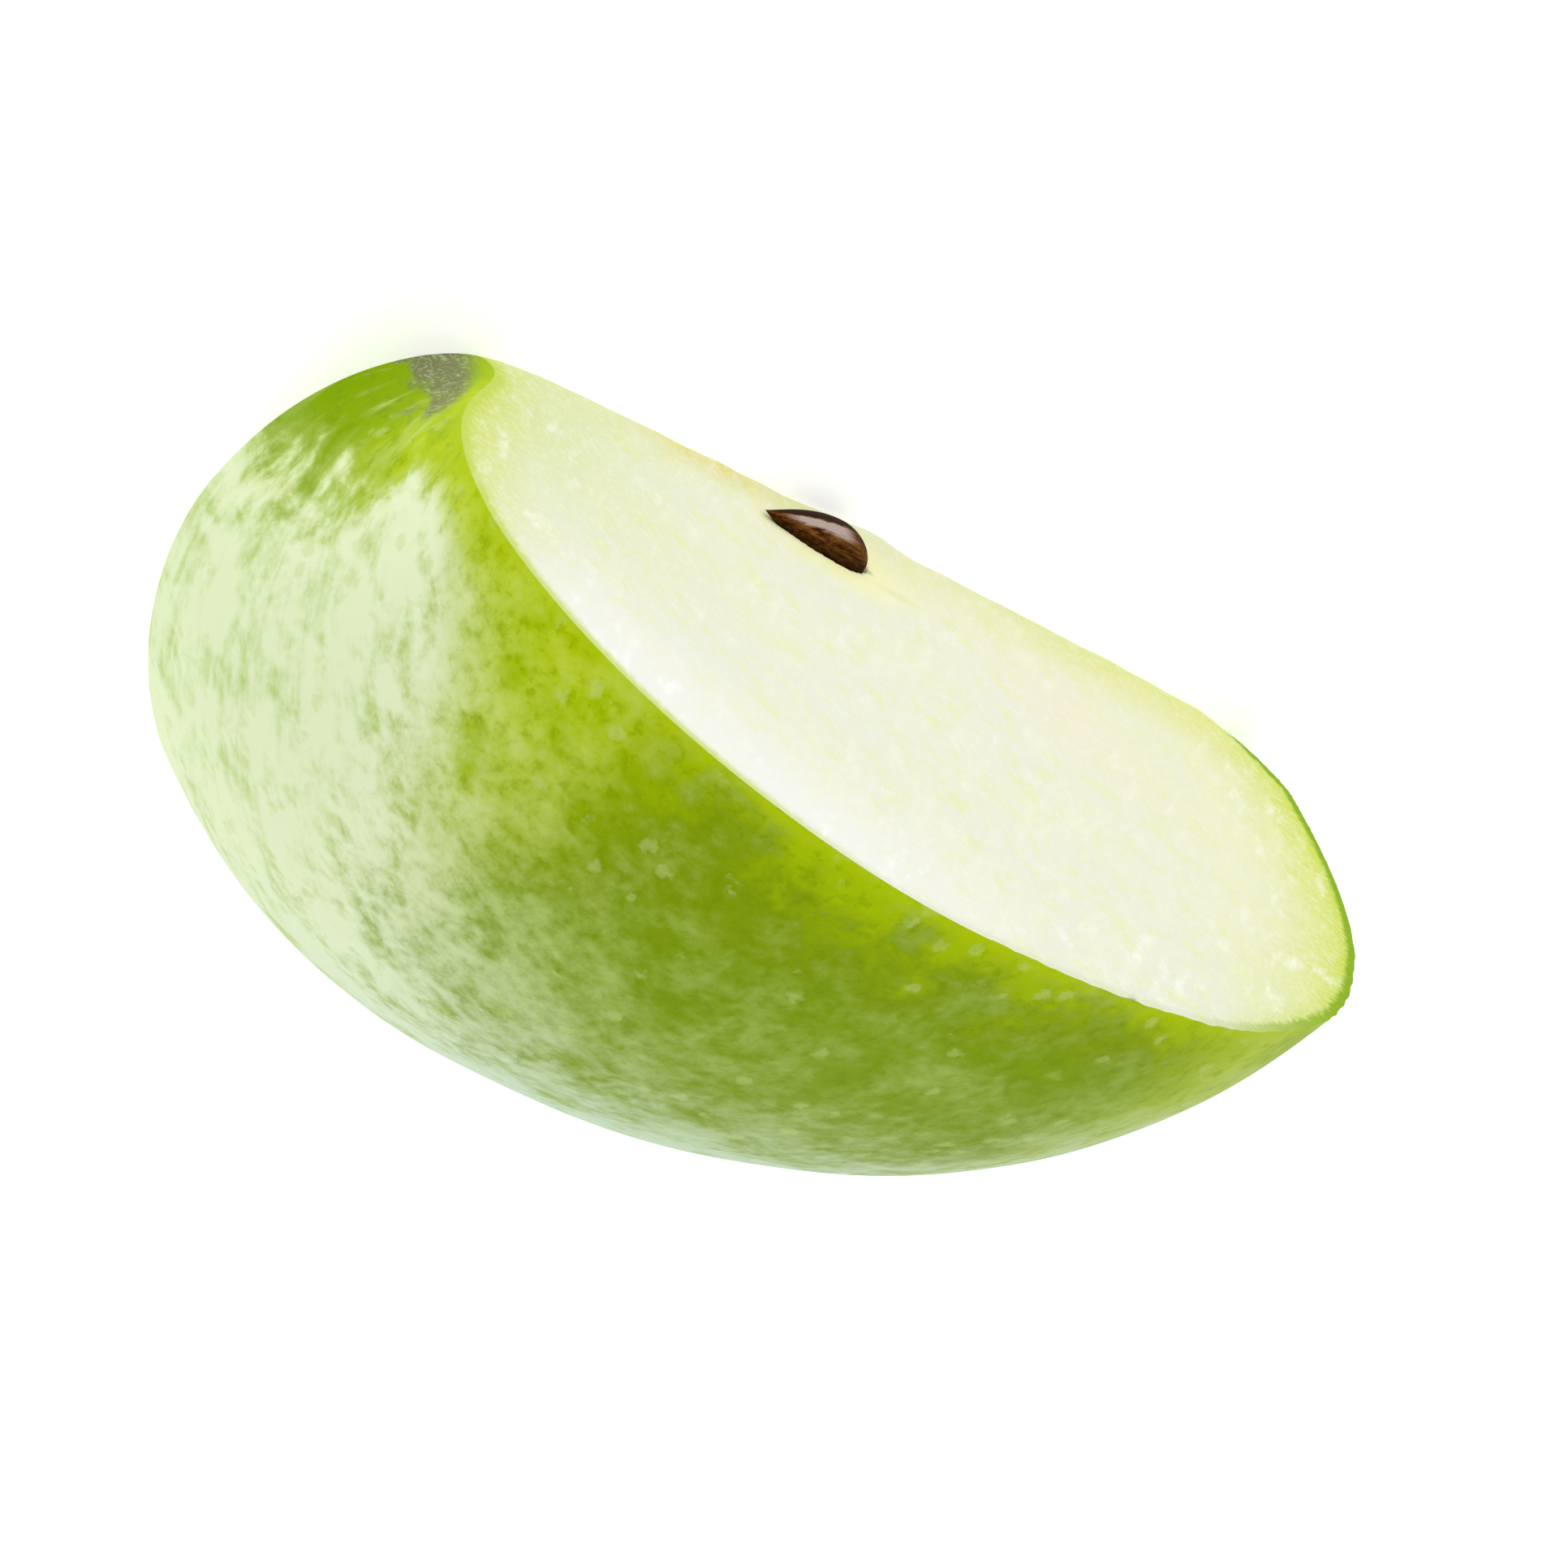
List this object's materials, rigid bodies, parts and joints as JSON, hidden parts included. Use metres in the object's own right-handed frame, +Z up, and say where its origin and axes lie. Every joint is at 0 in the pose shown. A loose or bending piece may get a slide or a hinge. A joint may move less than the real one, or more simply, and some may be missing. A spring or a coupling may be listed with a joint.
{
  "type": "apple slice",
  "caption": "Quarter wedge of a green apple cut lengthways, with a rounded skin side, flat cut flesh faces and a dark seed beside its core edge; fresh food to serve, eat or set out.",
  "frame": {"origin": "middle of the footprint box, on the surface the slice lies on", "axes": "+Z up from the under cut face; +X along the core edge towards the apple's stem end; -Y out of the upright cut face, +Y towards the skin"},
  "size_m": [0.0674, 0.0348, 0.0384],
  "materials": {
    "apple": "waxy yellow-green skin with pale flecks on the rounded side, moist cream flesh on the two cut faces",
    "seed_coat": "smooth glossy dark brown with fine lengthwise fibres"
  },
  "bodies": {
    "root": {"apple_slice": "apple", "seed": "seed_coat"}
  },
  "joints": []
}
